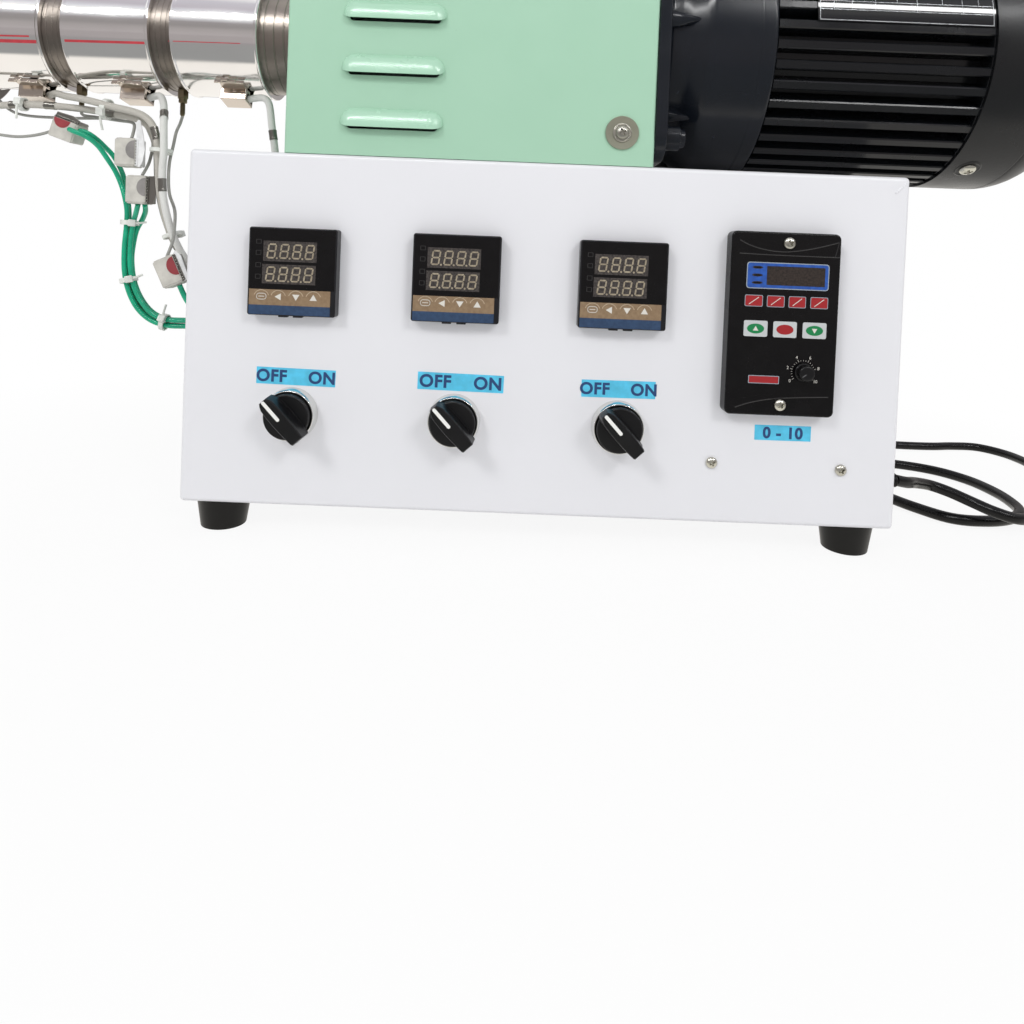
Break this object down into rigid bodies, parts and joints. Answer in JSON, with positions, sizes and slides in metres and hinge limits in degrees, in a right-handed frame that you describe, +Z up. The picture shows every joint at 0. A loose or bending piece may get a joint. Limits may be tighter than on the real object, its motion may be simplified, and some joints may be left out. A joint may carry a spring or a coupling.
{
  "type": "desktop filament extruder",
  "caption": "Desktop single-screw filament extruder: control cabinet on rubber feet, louvred drive housing, geared motor, heated barrel with die, open hopper.",
  "frame": {"origin": "on the floor, under the centre of the front left rubber foot", "axes": "+X along the screw from the die towards the motor's fan, -Y out of the control panel, +Z up"},
  "size_m": [0.8957, 0.2815, 0.512],
  "materials": {
    "panel_white": "white powder coat, semi-gloss",
    "feet_rubber": "matt black moulded rubber",
    "black_plastic": "black moulded plastic, fine satin",
    "gloss_black": "black plastic face under a gloss film",
    "bezel_chrome": "bright chrome ring",
    "zinc_steel": "bright zinc-plated screws and washers",
    "green_paint": "mint green powder coat, semi-gloss",
    "cast_grey": "machined grey casting",
    "hopper_steel": "spun stainless steel, brushed",
    "motor_black": "dark blue-black enamel, satin",
    "cowl_black": "black enamel on sheet, semi-gloss",
    "nameplate_black": "black plate with bare silver lines",
    "barrel_steel": "turned steel, slightly tarnished",
    "band_steel": "polished stainless steel",
    "brass": "brass, dull",
    "connector_ivory": "ivory moulded connector",
    "lead_sleeve": "pale braided glass-fibre sleeve",
    "couple_sheath": "pale grey thin cable",
    "green_wire": "green PVC wire",
    "dark_rubber": "black rubber grommet",
    "cord_black": "black PVC cord, soft shine"
  },
  "bodies": {
    "frame": {"cabinet_shell": "panel_white", "cabinet_base": "panel_white", "cabinet_back": "panel_white", "rubber_feet": "feet_rubber", "temperature_controller_1": "black_plastic", "temperature_controller_2": "black_plastic", "temperature_controller_3": "black_plastic", "switch_bezel_1": "bezel_chrome", "switch_bezel_2": "bezel_chrome", "switch_bezel_3": "bezel_chrome", "speed_controller": "gloss_black", "panel_screws": "zinc_steel", "housing_cover": "green_paint", "housing_screws": "zinc_steel", "feed_block": "cast_grey", "bearing_housing": "cast_grey", "hopper": "hopper_steel", "gearbox_flange": "motor_black", "gearbox_case": "motor_black", "gearbox_bolts": "motor_black", "motor_body": "motor_black", "fan_cowl": "cowl_black", "cowl_screws": "zinc_steel", "cooling_fan": "black_plastic", "motor_nameplate": "nameplate_black", "motor_terminal_box": "motor_black", "barrel": "barrel_steel", "heater_band_1": "band_steel", "heater_band_2": "band_steel", "heater_band_3": "band_steel", "die_head": "cast_grey", "die_heater_band": "band_steel", "die_nozzle": "brass", "die_bolts": "zinc_steel", "thermocouples": "brass", "wire_connector_1": "connector_ivory", "wire_connector_2": "connector_ivory", "wire_connector_3": "connector_ivory", "wire_connector_4": "connector_ivory", "heater_leads": "lead_sleeve", "thermocouple_leads": "couple_sheath", "green_leads": "green_wire", "side_grommet": "dark_rubber", "top_gland": "dark_rubber", "cord_gland": "cord_black", "power_cord": "cord_black", "power_plug": "cord_black"},
    "switch_handle_1": {"switch_handle_1": "black_plastic"},
    "switch_handle_2": {"switch_handle_2": "black_plastic"},
    "switch_handle_3": {"switch_handle_3": "black_plastic"},
    "speed_dial": {"speed_dial": "black_plastic"}
  },
  "joints": [
    {"name": "switch_handle_1_turn", "type": "hinge", "parent": "frame", "child": "switch_handle_1", "pos_m": [0.0432, -0.0185, 0.07], "axis": [0, 1, 0], "range_deg": [0, 90]},
    {"name": "switch_handle_2_turn", "type": "hinge", "parent": "frame", "child": "switch_handle_2", "pos_m": [0.1337, -0.0185, 0.07], "axis": [0, 1, 0], "range_deg": [0, 90]},
    {"name": "switch_handle_3_turn", "type": "hinge", "parent": "frame", "child": "switch_handle_3", "pos_m": [0.2248, -0.0185, 0.07], "axis": [0, 1, 0], "range_deg": [0, 90]},
    {"name": "speed_dial_turn", "type": "hinge", "parent": "frame", "child": "speed_dial", "pos_m": [0.323, -0.0275, 0.1059], "axis": [0, 1, 0], "range_deg": [0, 270]}
  ]
}
